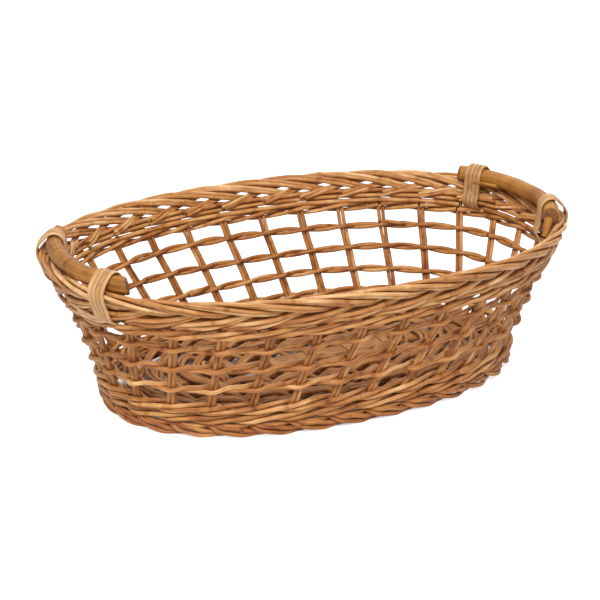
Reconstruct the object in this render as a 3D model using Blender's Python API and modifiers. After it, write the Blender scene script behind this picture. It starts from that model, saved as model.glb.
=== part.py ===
# Oval berry basket of woven rods, with a cane handle lashed over each end.
# Metres, +Z up. The basket is 0.38 m long on X and stands on z = 0.

import math

import bmesh
import bpy
import numpy as np

# Driving sizes
RIM_HALF_LENGTH = 0.185
RIM_HALF_WIDTH = 0.1276
FOOT_HALF_LENGTH = 0.146
FOOT_HALF_WIDTH = 0.090
OPENWORK_HEIGHT = 0.054
ROD_DIAMETER = 0.003
ROD_CLEARANCE = 0.00035

# The oval is between an ellipse (2) and a rectangle, and the wall flares more towards the top.
OVAL_POWER = 2.25
FLARE_POWER = 1.25
WALL_STEP_SHARE = 0.02

# Heights of the foot and the border, in rod pitches
FOOT_HEIGHT_SHARE = 3.4
BORDER_HEIGHT_SHARE = 6.5

# Stakes stand in pairs. Their count is a multiple of six, so that both weaves close on themselves.
STAKE_GROUPS = 5
STAKE_COUNT = 6 * STAKE_GROUPS
STAKE_WALL_STEPS = 3
STAKE_LEAN_SHARE = 0.8
STAKE_TIP_SHARE = 0.74
STAKE_RIM_SHARE = 0.96

# A pair's section: shoulders as shares of its half width, edges and waist of the rod's radius
PAIR_OVERLAP_SHARE = 0.06
PAIR_SHOULDER_SHARE = 0.86
PAIR_EDGE_SHARE = 0.78
PAIR_WAIST_SHARE = 0.4

# Weaving rows. A weaver's ends lie behind a stake, this share of a spacing past its middle.
LOWER_WALE_ROUNDS = 2
UPPER_WALE_ROUNDS = 1
WALE_RODS = 3
WALE_STROKE_SHARE = 1.08
WALE_END_STROKES = 2
PAIRING_HEIGHT_SHARES = {"bottom": 0.22, "middle": 0.51, "top": 0.81}
WEAVER_END_SHARE = 0.03

# Handles and their bindings, whose places are in stake spacings from the basket's ends
CANE_DIAMETER = 0.0115
CANE_REACH = 0.0705
CANE_POINTS = 15
BINDING_PLACE_SHARE = 1.5
BINDING_SHIFT_SHARE = 0.1
BINDING_TURNS = 4
BINDING_TURN_WIDTH = 0.0034
BINDING_THICKNESS = 0.0012
BINDING_GROOVE = 0.0004
BINDING_RIDGE_SHARES = (0.25, 0.75)

# Base of long sticks threaded through pierced cross sticks, with two pairs of rods woven round them
CROSS_STICKS = 7
CROSS_STICK_SPACING = 0.030
CROSS_STICK_WIDTH = 0.005
CROSS_STICK_HEIGHT = 0.005
LONG_STICKS = 3
LONG_STICK_WIDTH = 0.004
LONG_STICK_HEIGHT = 0.0028
STICK_BEVEL = 0.0006
BASE_LEVEL_SHARE = 0.64
BASE_ROUND_SAMPLES = 240
BASE_TIP_SAMPLES = 8
BASE_TIP_SHARES = (0.5, 0.8)
BASE_TIP_PUSH_SHARE = 2.4

# Points of a swept curve closer than this share of the rod clearance are made one.
WELD_SHARE = 0.02

# Sizes that follow from the ones above
ROD_RADIUS = ROD_DIAMETER / 2
ROD_PITCH = ROD_DIAMETER + ROD_CLEARANCE
FOOT_HEIGHT = FOOT_HEIGHT_SHARE * ROD_PITCH
WALE_STROKE = WALE_STROKE_SHARE * ROD_PITCH
WALE_ROUND = WALE_STROKE + ROD_PITCH
LOWER_WALE_START = FOOT_HEIGHT + ROD_RADIUS + WALE_STROKE / 2
LOWER_WALE_TOP = FOOT_HEIGHT + LOWER_WALE_ROUNDS * WALE_ROUND
UPPER_WALE_START = LOWER_WALE_TOP + OPENWORK_HEIGHT + ROD_RADIUS + WALE_STROKE / 2
BORDER_START = LOWER_WALE_TOP + OPENWORK_HEIGHT + UPPER_WALE_ROUNDS * WALE_ROUND
BORDER_HEIGHT = BORDER_HEIGHT_SHARE * ROD_PITCH
RIM_HEIGHT = BORDER_START + BORDER_HEIGHT
PAIR_HALF_WIDTH = ROD_DIAMETER * (1 - PAIR_OVERLAP_SHARE / 2)
PAIR_HALF_THICKNESS = PAIR_EDGE_SHARE * ROD_RADIUS
CANE_RADIUS = CANE_DIAMETER / 2
BINDING_WIDTH = BINDING_TURNS * BINDING_TURN_WIDTH
LONG_STICK_PITCH = LONG_STICK_WIDTH + ROD_CLEARANCE
SLOT_WIDTH = LONG_STICKS * LONG_STICK_PITCH + ROD_CLEARANCE
BASE_CORE = SLOT_WIDTH / 2 + ROD_CLEARANCE + PAIR_HALF_WIDTH
BASE_LIFT = CROSS_STICK_HEIGHT / 2 + ROD_CLEARANCE + PAIR_HALF_THICKNESS

# The way of a stake pair round the border, chosen by hand as shares of the rod pitch.
# Each step is (stake spacings to the right, outwards, up, turn of the pair in radians).
BORDER_STEP_SHARES = (
    (0.03, 0.36, 0.25, 0.1),
    (0.13, 0.62, 0.85, 0.1),
    (0.5, 0.97, 1.46, 0.1),
    (1.0, 1.02, 2.20, 0.1),
    (1.5, 0.10, 3.14, 0.15),
    (2.0, -0.67, 4.02, 0.2),
    (2.5, -0.61, 4.92, 0.35),
    (3.0, 0.0, 5.66, 0.5),
    (3.5, 0.65, 5.78, 0.4),
    (4.0, 1.04, 5.30, 0.2),
    (4.5, 1.05, 4.38, 0.05),
    (5.0, 0.20, 3.30, 0.15),
    (5.3, -0.65, 2.62, 0.15),
    (5.65, -1.55, 1.70, 0.05),
    (6.0, -1.95, 0.95, 0.05),
)

# The way of a stake pair round the foot, from its hidden end back to the stake.
FOOT_STEP_SHARES = (
    (2.2, -1.30, 1.15, -0.3),
    (1.9, -0.75, 1.05, -0.3),
    (1.55, -0.10, 0.95, -0.25),
    (1.25, 0.28, 0.84, -0.2),
    (1.0, 0.95, 1.00, -0.1),
    (0.65, 1.38, 1.60, 0.0),
    (0.3, 1.25, 2.28, 0.1),
    (0.12, 0.65, 2.74, 0.3),
    (0.0, 0.05, 3.05, 0.0),
)

# One wale rod passes outside two stakes, rising, and behind the third. Places are in stake spacings,
# sides in weaver's reaches outwards, and lifts in strokes.
WALE_PLACE_SHARES = (0, 0.5, 1, 1.5, 2, 2.5)
WALE_SIDE_SHARES = (1, 1, 1, 0, -1, 0)
WALE_LIFT_SHARES = (-0.5, 0, 0.5, 0.5, 0, -0.5)

# Where the cane rests on the inner top edge of the border, outwards and up from the border's start
# in rod pitches, and the way from there to the cane's centre, in radians from outwards.
CANE_REST_SHARES = (-0.98, 5.23)
CANE_REST_ANGLE = 2.48

# The loop of a binding goes under the border through these points, outwards and up in rod pitches,
# and then round the cane between these two angles.
BINDING_BORDER_SHARES = (
    (-2.95, 2.10),
    (-2.85, 0.95),
    (-2.05, 0.18),
    (1.45, 0.18),
    (2.00, 1.10),
    (1.95, 3.60),
    (1.88, 5.30),
    (1.45, 6.60),
)
BINDING_CANE_ANGLES = (1.15, 3.75)
BINDING_CANE_STEPS = 6

# Colours and roughnesses
BUFF = (0.62, 0.36, 0.16, 1.0)
GOLDEN = (0.55, 0.31, 0.11, 1.0)
PALE = (0.72, 0.48, 0.24, 1.0)
BROWN = (0.45, 0.25, 0.11, 1.0)
ROD_ROUGHNESS = 0.55
CANE_ROUGHNESS = 0.45
STICK_ROUGHNESS = 0.6


# Scene set-up

def clear_scene():
    for obj in list(bpy.data.objects):
        bpy.data.objects.remove(obj)


def new_collection(name):
    collection = bpy.data.collections.new(name)
    bpy.context.scene.collection.children.link(collection)
    return collection


def new_material(name, colour, roughness):
    material = bpy.data.materials.new(name)
    material.use_nodes = True
    shader = material.node_tree.nodes["Principled BSDF"]
    shader.inputs["Base Color"].default_value = colour
    shader.inputs["Roughness"].default_value = roughness
    return material


# The wall: places are counted in stake spacings from +X, anticlockwise seen from above

def oval(half_length, half_width, angle):
    """Points of a superellipse at these angles."""
    cosine = np.cos(angle)
    sine = np.sin(angle)
    x = half_length * np.sign(cosine) * np.abs(cosine) ** (2 / OVAL_POWER)
    y = half_width * np.sign(sine) * np.abs(sine) ** (2 / OVAL_POWER)
    return x, y


def oval_table(samples=2880):
    """Angles round the rim, and the stake spacings walked along it to reach each."""
    angles = np.linspace(0, 2 * np.pi, samples + 1)
    x, y = oval(RIM_HALF_LENGTH, RIM_HALF_WIDTH, angles)
    walked = np.concatenate([[0], np.cumsum(np.hypot(np.diff(x), np.diff(y)))])
    return angles, walked / walked[-1] * STAKE_COUNT


ANGLES, WALKED = oval_table()


def wall_half_axes(height):
    """Half the length and half the width of the wall's oval at this height."""
    rise = (np.maximum(height, 0) / RIM_HEIGHT) ** FLARE_POWER
    half_length = FOOT_HALF_LENGTH + (RIM_HALF_LENGTH - FOOT_HALF_LENGTH) * rise
    half_width = FOOT_HALF_WIDTH + (RIM_HALF_WIDTH - FOOT_HALF_WIDTH) * rise
    return half_length, half_width


def wall_surface(place, height):
    """Points on the middle of the wall, where the stakes lean as they rise to the border."""
    place, height = np.broadcast_arrays(np.asarray(place, float), np.asarray(height, float))
    lean = STAKE_LEAN_SHARE * np.minimum(height / BORDER_START - 1, 0)
    turns = (place + lean) % STAKE_COUNT
    half_length, half_width = wall_half_axes(height)
    x, y = oval(half_length, half_width, np.interp(turns, WALKED, ANGLES))
    return np.stack([x, y, height], axis=-1)


def wall_axes(place, height):
    """Unit vectors along the wall to the right, and out of it."""
    step = WALL_STEP_SHARE
    rise = WALL_STEP_SHARE * ROD_DIAMETER
    height = np.maximum(np.asarray(height, float), rise)
    along = wall_surface(place + step, height) - wall_surface(place - step, height)
    up = wall_surface(place, height + rise) - wall_surface(place, height - rise)
    out = np.cross(along, up)
    along /= np.linalg.norm(along, axis=-1, keepdims=True)
    out /= np.linalg.norm(out, axis=-1, keepdims=True)
    return along, out


def wall_points(place, outwards, height):
    place = np.asarray(place, float)
    _, out = wall_axes(place, height)
    return wall_surface(place, height) + out * np.asarray(outwards, float)[..., None]


def place_along(distance, height, samples=400):
    """The place at this distance along the wall from +X, at one height."""
    steps = np.linspace(0, STAKE_COUNT / 4, samples)
    points = wall_surface(steps, height)
    walked = np.linalg.norm(np.diff(points, axis=0), axis=1)
    return float(np.interp(distance, np.concatenate([[0], np.cumsum(walked)]), steps))


# Rods and strips

def path_directions(points, cyclic):
    """The direction of a path at each point, halfway between those of the pieces beside it."""
    if cyclic:
        ahead = np.roll(points, -1, axis=0) - points
        ahead /= np.linalg.norm(ahead, axis=1, keepdims=True)
        total = ahead + np.roll(ahead, 1, axis=0)
    else:
        ahead = np.diff(points, axis=0)
        ahead /= np.linalg.norm(ahead, axis=1, keepdims=True)
        total = np.vstack([ahead, ahead[-1:]]) + np.vstack([ahead[:1], ahead])
    return total / np.linalg.norm(total, axis=1, keepdims=True)


def tilts(directions, wide):
    """The tilt of each point that turns a section's long side to the wide direction."""
    level = np.cross((0.0, 0.0, 1.0), directions)
    level /= np.linalg.norm(level, axis=1, keepdims=True)
    up = np.cross(directions, level)
    return np.arctan2(-(wide * up).sum(axis=1), -(wide * level).sum(axis=1))


def new_curve(name, points, radii, turns, cyclic, material, collection):
    data = bpy.data.curves.new(name, "CURVE")
    data.dimensions = "3D"
    data.twist_mode = "Z_UP"
    data.use_fill_caps = True
    spline = data.splines.new("POLY")
    spline.points.add(len(points) - 1)
    spline.points.foreach_set("co", np.column_stack([points, np.ones(len(points))]).ravel())
    spline.points.foreach_set("radius", np.asarray(radii, float))
    spline.points.foreach_set("tilt", np.asarray(turns, float))
    spline.use_cyclic_u = cyclic
    data.materials.append(material)
    obj = bpy.data.objects.new(name, data)
    collection.objects.link(obj)
    return obj


def round_rod(name, points, diameter, sides_level, material, collection):
    """A rod of one thickness along these points. Level 0 has four sides, and 2 has eight."""
    obj = new_curve(name, points, np.ones(len(points)), np.zeros(len(points)), False, material, collection)
    obj.data.bevel_depth = diameter / 2
    obj.data.bevel_resolution = sides_level
    return obj


def section(name, outline, collection):
    """A closed outline, listed clockwise, that other curves are swept with."""
    data = bpy.data.curves.new(name, "CURVE")
    data.dimensions = "2D"
    spline = data.splines.new("POLY")
    spline.points.add(len(outline) - 1)
    for point, (x, y) in zip(spline.points, outline):
        point.co = (x, y, 0, 1)
    spline.use_cyclic_u = True
    obj = bpy.data.objects.new(name, data)
    obj.hide_render = True
    obj.display_type = "WIRE"
    collection.objects.link(obj)
    return obj


def swept(name, points, wide, radii, profile, cyclic, material, collection):
    directions = path_directions(points, cyclic)
    wide = wide - directions * (wide * directions).sum(axis=1, keepdims=True)
    wide /= np.linalg.norm(wide, axis=1, keepdims=True)
    obj = new_curve(name, points, radii, tilts(directions, wide), cyclic, material, collection)
    obj.data.bevel_mode = "OBJECT"
    obj.data.bevel_object = profile
    return obj


def made_mesh(obj):
    """The curve as a mesh object with closed ends, in the curve's place."""
    bpy.context.view_layer.update()
    graph = bpy.context.evaluated_depsgraph_get()
    mesh = bpy.data.meshes.new_from_object(obj.evaluated_get(graph))
    welder = bmesh_of(mesh)
    bmesh.ops.remove_doubles(welder, verts=welder.verts, dist=WELD_SHARE * ROD_CLEARANCE)
    welder.to_mesh(mesh)
    welder.free()
    name = obj.name
    collection = obj.users_collection[0]
    world = obj.matrix_world.copy()
    bpy.data.objects.remove(obj)
    solid = bpy.data.objects.new(name, mesh)
    solid.matrix_world = world
    collection.objects.link(solid)
    return solid


def bmesh_of(mesh):
    shape = bmesh.new()
    shape.from_mesh(mesh)
    return shape


def cut(obj, cutter):
    modifier = obj.modifiers.new("cut", "BOOLEAN")
    modifier.operation = "DIFFERENCE"
    modifier.object = cutter


def box(name, size, centre, collection, material=None):
    shape = bmesh.new()
    bmesh.ops.create_cube(shape, size=1)
    bmesh.ops.scale(shape, vec=size, verts=shape.verts)
    mesh = bpy.data.meshes.new(name)
    shape.to_mesh(mesh)
    shape.free()
    obj = bpy.data.objects.new(name, mesh)
    obj.location = centre
    collection.objects.link(obj)
    if material:
        mesh.materials.append(material)
    return obj


def as_cutter(obj):
    obj.hide_render = True
    obj.display_type = "WIRE"
    return obj


# Stakes

def pair_section(collection):
    """Two rods side by side, one solid with a groove between them."""
    shoulder = PAIR_SHOULDER_SHARE * PAIR_HALF_WIDTH
    edge = PAIR_HALF_THICKNESS
    waist = PAIR_WAIST_SHARE * ROD_RADIUS
    upper = [(-shoulder, -edge), (-shoulder, edge), (0, waist)]
    lower = [(shoulder, edge), (shoulder, -edge), (0, -waist)]
    return section("pair_section", upper + lower, collection)


def stake_path(index):
    """Points, wide directions and thickness shares of one stake pair, from foot to border tail."""
    foot = np.array(FOOT_STEP_SHARES)
    border = np.array(BORDER_STEP_SHARES)
    rise = np.linspace(foot[-1, 2] * ROD_PITCH, BORDER_START - ROD_RADIUS, STAKE_WALL_STEPS + 1)[1:]
    still = np.zeros(STAKE_WALL_STEPS)
    place = index + np.concatenate([foot[:, 0], still, border[:, 0]])
    outwards = np.concatenate([foot[:, 1], still, border[:, 1]]) * ROD_PITCH
    height = np.concatenate([foot[:, 2] * ROD_PITCH, rise, BORDER_START + border[:, 2] * ROD_PITCH])
    turn = np.concatenate([foot[:, 3], still, border[:, 3]])
    points = wall_points(place, outwards, height)
    _, out = wall_axes(place, height)
    directions = path_directions(points, False)
    in_wall = np.cross(out, directions)
    wide = in_wall * np.cos(turn)[:, None] + out * np.sin(turn)[:, None]
    shares = np.concatenate([
        np.ones(len(foot)),
        np.linspace(1, STAKE_RIM_SHARE, STAKE_WALL_STEPS),
        np.interp(border[:, 0], [0, border[-1, 0]], [STAKE_RIM_SHARE, STAKE_TIP_SHARE]),
    ])
    return points, wide, shares


def add_stakes(material, parts, cutters):
    profile = pair_section(cutters)
    depth = FOOT_HEIGHT
    reach = RIM_HALF_LENGTH + RIM_HALF_WIDTH
    ground = as_cutter(box("ground_cutter", (2 * reach, 2 * reach, depth), (0, 0, -depth / 2), cutters))
    for index in range(STAKE_COUNT):
        points, wide, shares = stake_path(index)
        name = f"stake_pair_{index + 1:02d}"
        stake = made_mesh(swept(name, points, wide, shares, profile, False, material, parts))
        cut(stake, ground)


# Weaving between and round the stakes

def weave_reach(height):
    """How far out a weaver passes a stake pair, so that its straight runs clear the pair's edges.

    The runs also cut the corner of the oval's ends, by the square of their length over eight radii.
    """
    spacing = np.linalg.norm(wall_surface(0.5, height) - wall_surface(-0.5, height))
    edge = (PAIR_HALF_WIDTH - ROD_RADIUS / 2) / spacing
    tightest = FOOT_HALF_WIDTH ** 2 / FOOT_HALF_LENGTH
    corner = (spacing / 2) ** 2 / (8 * tightest)
    return ROD_PITCH / (1 - 2 * edge) + corner


def add_pairing(material, parts):
    """Three open rows. In each, two rods cross between the stake pairs and pass them on opposite sides."""
    for row, share in PAIRING_HEIGHT_SHARES.items():
        middle = LOWER_WALE_TOP + share * OPENWORK_HEIGHT
        reach = weave_reach(middle)
        for strand, start in (("a", 1), ("b", 0)):
            place = start + np.arange(2 * STAKE_COUNT + 1) / 2
            side = np.cos(np.pi * (place - start + 1))
            lift = np.sin(np.pi * (place - start + 1))
            height = middle + lift * ROD_PITCH / 2
            place[0] += WEAVER_END_SHARE
            place[-1] -= WEAVER_END_SHARE
            points = wall_points(place, side * reach, height)
            round_rod(f"pairing_{row}_{strand}", points, ROD_DIAMETER, 0, material, parts)


def wale_path(rod, middle, rounds):
    """Starts and ends behind a stake. A second round steps up over three stakes and ends before them."""
    strokes = STAKE_COUNT * rounds // WALE_RODS - (rounds - 1) * WALE_END_STROKES
    whole = WALE_RODS * strokes
    period = np.arange(-1, strokes + 2)
    place = (rod + period[:, None] * WALE_RODS + np.array(WALE_PLACE_SHARES)).ravel()
    side = np.tile(WALE_SIDE_SHARES, len(period))
    lift = np.tile(WALE_LIFT_SHARES, len(period))
    start = rod + WALE_RODS - 1
    kept = (place >= start) & (place <= start + whole)
    place, side, lift = place[kept], side[kept], lift[kept]
    climb = np.interp(place, [STAKE_COUNT - 1, STAKE_COUNT - 1 + WALE_RODS], [0, 1]) * (rounds - 1)
    height = middle + climb * WALE_ROUND + lift * WALE_STROKE
    place[0] += WEAVER_END_SHARE
    place[-1] -= WEAVER_END_SHARE
    return wall_points(place, side * weave_reach(middle), height)


def add_wale(name, middle, rounds, material, parts):
    for rod in range(WALE_RODS):
        points = wale_path(rod, middle, rounds)
        round_rod(f"{name}_{rod + 1}", points, ROD_DIAMETER, 0, material, parts)


# Handles and bindings

def cane_seat():
    """The cane's centre, outwards and up, with the cane resting on the border."""
    outwards, up = CANE_REST_SHARES
    away = CANE_RADIUS + ROD_CLEARANCE
    return (
        outwards * ROD_PITCH + away * math.cos(CANE_REST_ANGLE),
        BORDER_START + up * ROD_PITCH + away * math.sin(CANE_REST_ANGLE),
    )


def add_handle(name, centre_place, material, parts):
    """A bent cane on the inner top edge of the border."""
    outwards, height = cane_seat()
    reach = place_along(CANE_REACH, RIM_HEIGHT)
    place = centre_place + np.linspace(-reach, reach, CANE_POINTS)
    points = wall_points(place, np.full(CANE_POINTS, outwards), height)
    round_rod(name, points, CANE_DIAMETER, 2, material, parts)


def binding_section(collection):
    """Flat towards the border, with one ridge for each turn of the split cane."""
    half = BINDING_THICKNESS / 2
    outline = [(BINDING_WIDTH / 2, -half), (-BINDING_WIDTH / 2, -half)]
    for turn in range(BINDING_TURNS):
        left = turn * BINDING_TURN_WIDTH - BINDING_WIDTH / 2
        if turn:
            outline.append((left, half - BINDING_GROOVE))
        for share in BINDING_RIDGE_SHARES:
            outline.append((left + share * BINDING_TURN_WIDTH, half))
    return section("binding_section", outline, collection)


def add_binding(name, place, profile, material, parts):
    """Four turns side by side, under the border and over the cane."""
    cane_out, cane_height = cane_seat()
    turns = np.linspace(*BINDING_CANE_ANGLES, BINDING_CANE_STEPS)
    ring = CANE_RADIUS + ROD_CLEARANCE + BINDING_THICKNESS / 2 + BINDING_GROOVE
    ring /= math.cos((turns[1] - turns[0]) / 2)
    outwards = [share * ROD_PITCH for share, _ in BINDING_BORDER_SHARES]
    height = [BORDER_START + share * ROD_PITCH for _, share in BINDING_BORDER_SHARES]
    for turn in turns:
        outwards.append(cane_out + ring * math.cos(turn))
        height.append(cane_height + ring * math.sin(turn))
    along, _ = wall_axes(np.array(place), BORDER_START + BORDER_HEIGHT / 2)
    points = np.array([binding_point(place, o, h) for o, h in zip(outwards, height)])
    wide = np.tile(along, (len(points), 1))
    swept(name, points, wide, np.ones(len(points)), profile, True, material, parts)


def binding_point(place, outwards, height):
    return wall_points(np.array([place]), np.array([outwards]), np.array([height]))[0]


# Base

def base_middle():
    """Height of the sticks' middle, so that the weave lies just above the tucked ends of the foot."""
    return BASE_LEVEL_SHARE * FOOT_HEIGHT + PAIR_HALF_THICKNESS + BASE_LIFT


def base_half_axes():
    """Half the base's length and width, drawn in from the wall clear of the waling rods inside it."""
    inwards = weave_reach(LOWER_WALE_START) + ROD_RADIUS + ROD_CLEARANCE
    half_length, half_width = wall_half_axes(base_middle())
    return half_length - inwards, half_width - inwards


def across_oval(half_axis, other_half_axis, distance):
    """How far an oval reaches along its first axis, at this distance along the other."""
    return half_axis * (1 - abs(distance / other_half_axis) ** OVAL_POWER) ** (1 / OVAL_POWER)


def soften(obj):
    bevel = obj.modifiers.new("soften", "BEVEL")
    bevel.width = STICK_BEVEL
    bevel.segments = 1
    bevel.limit_method = "ANGLE"


def add_base_sticks(material, parts, cutters):
    """Cross sticks are pierced, and the long sticks are threaded through them side by side."""
    middle = base_middle()
    half_length, half_width = base_half_axes()
    slot_size = (2 * RIM_HALF_LENGTH, SLOT_WIDTH, LONG_STICK_HEIGHT + 2 * ROD_CLEARANCE)
    slot = as_cutter(box("slot_cutter", slot_size, (0, 0, middle), cutters))
    for index in range(CROSS_STICKS):
        x = (index - (CROSS_STICKS - 1) / 2) * CROSS_STICK_SPACING
        reach = across_oval(half_width, half_length, abs(x) + CROSS_STICK_WIDTH / 2)
        size = (CROSS_STICK_WIDTH, 2 * reach, CROSS_STICK_HEIGHT)
        stick = box(f"base_cross_stick_{index + 1}", size, (x, 0, middle), parts, material)
        cut(stick, slot)
    for index in range(LONG_STICKS):
        y = (index - (LONG_STICKS - 1) / 2) * LONG_STICK_PITCH
        reach = across_oval(half_length, half_width, abs(y) + LONG_STICK_WIDTH / 2)
        size = (2 * reach, LONG_STICK_WIDTH, LONG_STICK_HEIGHT)
        stick = box(f"base_long_stick_{index + 1}", size, (0, y, middle), parts, material)
        soften(stick)


def base_rounds(angle):
    """The points of the base's outermost and innermost rounds that face this way, and the way itself."""
    half_length, half_width = base_half_axes()
    half_length -= PAIR_HALF_WIDTH
    half_width -= PAIR_HALF_WIDTH
    slope = np.abs(np.tan(angle)) * half_width / half_length
    turn = np.arctan(slope ** (OVAL_POWER / (2 * (OVAL_POWER - 1))))
    way = np.stack([np.cos(angle), np.sin(angle)], axis=-1)
    outer = np.stack(oval(half_length, half_width, turn), axis=-1) * np.sign(way)
    spine = np.array([half_length - half_width, 0])
    return outer, np.sign(way) * spine + BASE_CORE * way, way


def base_round_count():
    """As many rounds as fit side by side where the base is narrowest."""
    outer, inner, way = base_rounds(np.linspace(0, np.pi / 2, BASE_ROUND_SAMPLES))
    room = ((outer - inner) * way).sum(axis=1).min()
    return int(room / (2 * PAIR_HALF_WIDTH + ROD_CLEARANCE))


def base_spiral(pair):
    """The way of a pair from the edge to the core: x, y, the angle it faces, and its round's own tip."""
    rounds = base_round_count() / 2
    turns = np.linspace(0, rounds, int(rounds * BASE_ROUND_SAMPLES) + 1)
    angle = np.pi * (2 * turns + pair)
    inwards = (turns / rounds)[:, None]
    outer, inner, _ = base_rounds(angle)
    tip_outer, tip_inner, _ = base_rounds(np.zeros(1))
    rows = np.hstack([
        outer * (1 - inwards) + inner * inwards,
        angle[:, None],
        tip_outer[:, :1] * (1 - inwards) + tip_inner[:, :1] * inwards,
    ])
    walked = np.concatenate([[0], np.cumsum(np.linalg.norm(np.diff(rows[:, :2], axis=0), axis=1))])
    steps = np.arange(0, walked[-1], ROD_RADIUS / 2)
    return [np.interp(steps, walked, column) for column in rows.T]


def base_wave(distance, pair):
    """One over an even stick and minus one over an odd one. The other pair is opposite."""
    return 2 * np.abs((distance / CROSS_STICK_SPACING + pair) % 2 - 1) - 1


def base_lift(x, y, tip, pair):
    """Over or under each cross stick, and wholly so at the tips, where the long sticks are crossed."""
    full, none = BASE_TIP_SHARES
    near_tip = np.clip((none * BASE_CORE - tip + np.abs(x)) / ((none - full) * BASE_CORE), 0, 1)
    near_middle = np.clip(2 - np.abs(y) / BASE_CORE, 0, 1)
    push = BASE_TIP_PUSH_SHARE * near_tip * near_middle * np.sign(base_wave(tip, pair))
    steepness = CROSS_STICK_SPACING / (CROSS_STICK_SPACING - CROSS_STICK_WIDTH - 2 * PAIR_HALF_WIDTH)
    return BASE_LIFT * np.clip(steepness * base_wave(x, pair) + push, -1, 1)


def crossings(values, marks):
    """Where a row of values passes any of the marks."""
    return np.unique(np.concatenate([np.nonzero(np.diff(np.sign(values - mark)))[0] for mark in marks]))


def base_pair_path(pair):
    """Points beside each cross stick and round each tip, no two nearer than a rod's radius."""
    x, y, angle, tip = base_spiral(pair)
    half_length, half_width = base_half_axes()
    sticks = (np.arange(CROSS_STICKS) - (CROSS_STICKS - 1) / 2) * CROSS_STICK_SPACING
    beside = CROSS_STICK_WIDTH / 2 + PAIR_HALF_WIDTH
    marks = crossings(x, np.concatenate([sticks - beside, sticks + beside]))
    bends = crossings(angle, np.arange(0, angle[-1], np.pi / BASE_TIP_SAMPLES))
    at_tips = np.concatenate([crossings(y, [-BASE_CORE, BASE_CORE]), bends])
    at_tips = at_tips[np.abs(x[at_tips]) > half_length - half_width]
    away = np.abs(at_tips[:, None] - marks).min(axis=1) * ROD_RADIUS / 2
    chosen = np.unique(np.concatenate([[0], marks, at_tips[away > ROD_DIAMETER], [len(x) - 1]]))
    kept = chosen[np.concatenate([[True], np.diff(chosen) * ROD_RADIUS / 2 > ROD_RADIUS])]
    return np.column_stack([x, y, base_middle() + base_lift(x, y, tip, pair)])[kept]


def add_base(stick_material, weave_material, parts, cutters):
    """Two pairs chase each other inwards. The top one goes over the middle cross stick."""
    add_base_sticks(stick_material, parts, cutters)
    width, edge = PAIR_HALF_WIDTH, PAIR_HALF_THICKNESS
    outline = [(-width, -edge), (-width, edge), (width, edge), (width, -edge)]
    profile = section("base_pair_section", outline, cutters)
    for pair, name in enumerate(("base_weave_top", "base_weave_underside")):
        points = base_pair_path(pair)
        wide = np.cross((0.0, 0.0, 1.0), path_directions(points, False))
        swept(name, points, wide, np.ones(len(points)), profile, False, weave_material, parts)


def main():
    clear_scene()
    parts = new_collection("berry_basket")
    cutters = new_collection("cutters_and_sections")
    stake_look = new_material("stake_rods", BUFF, ROD_ROUGHNESS)
    weave_look = new_material("weaving_rods", PALE, ROD_ROUGHNESS)
    cane_look = new_material("handle_cane", GOLDEN, CANE_ROUGHNESS)
    binding_look = new_material("binding_cane", PALE, CANE_ROUGHNESS)
    base_look = new_material("base_sticks", BROWN, STICK_ROUGHNESS)

    add_stakes(stake_look, parts, cutters)
    add_pairing(weave_look, parts)
    add_wale("waling_lower", LOWER_WALE_START, LOWER_WALE_ROUNDS, weave_look, parts)
    add_wale("waling_upper", UPPER_WALE_START, UPPER_WALE_ROUNDS, weave_look, parts)

    profile = binding_section(cutters)
    half_turn = STAKE_COUNT / 2
    for side, centre, backwards in (("right", 0, 1), ("left", half_turn, -1)):
        add_handle(f"handle_{side}", centre, cane_look, parts)
        away = backwards * BINDING_PLACE_SHARE
        middle = centre + BINDING_SHIFT_SHARE
        add_binding(f"binding_{side}_back", middle + away, profile, binding_look, parts)
        add_binding(f"binding_{side}_front", middle - away, profile, binding_look, parts)

    add_base(base_look, weave_look, parts, cutters)


main()
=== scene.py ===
# %% [markdown]
# An oval berry basket, woven from thin round rods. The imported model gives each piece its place, and this
# script gives it its looks. The model is loaded first, because nothing here may move or resize it: every
# piece made below stands for one solid of the model and stays where it is. A few extra rods fill gaps that
# the model leaves open and the photo doesn't show.

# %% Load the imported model
import math

import bpy
import numpy as np
from mathutils import Matrix, Vector


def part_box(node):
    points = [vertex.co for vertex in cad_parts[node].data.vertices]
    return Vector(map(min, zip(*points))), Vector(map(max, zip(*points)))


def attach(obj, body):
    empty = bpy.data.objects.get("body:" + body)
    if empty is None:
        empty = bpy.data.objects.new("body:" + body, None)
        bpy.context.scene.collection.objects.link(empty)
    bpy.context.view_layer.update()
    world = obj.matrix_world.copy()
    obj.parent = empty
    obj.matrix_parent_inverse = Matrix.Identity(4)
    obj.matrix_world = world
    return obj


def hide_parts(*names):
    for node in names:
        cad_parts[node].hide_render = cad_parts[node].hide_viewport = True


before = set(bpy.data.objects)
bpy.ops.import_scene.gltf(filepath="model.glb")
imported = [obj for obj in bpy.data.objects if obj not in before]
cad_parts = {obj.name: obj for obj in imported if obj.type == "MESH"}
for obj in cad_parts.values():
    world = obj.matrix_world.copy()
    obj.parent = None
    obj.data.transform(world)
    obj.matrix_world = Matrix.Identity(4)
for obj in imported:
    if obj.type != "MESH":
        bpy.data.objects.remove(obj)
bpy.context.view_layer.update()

# %% [markdown]
# A weaver works from a few sizes: the oval of the base, the oval of the rim, the thickness of the rods and
# the number of stakes. All else is counted in rods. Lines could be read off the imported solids, but it is
# simpler to repeat the same sizes here, in metres, and to draw each rod as a smooth line through the points
# that its solid goes through.

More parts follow.
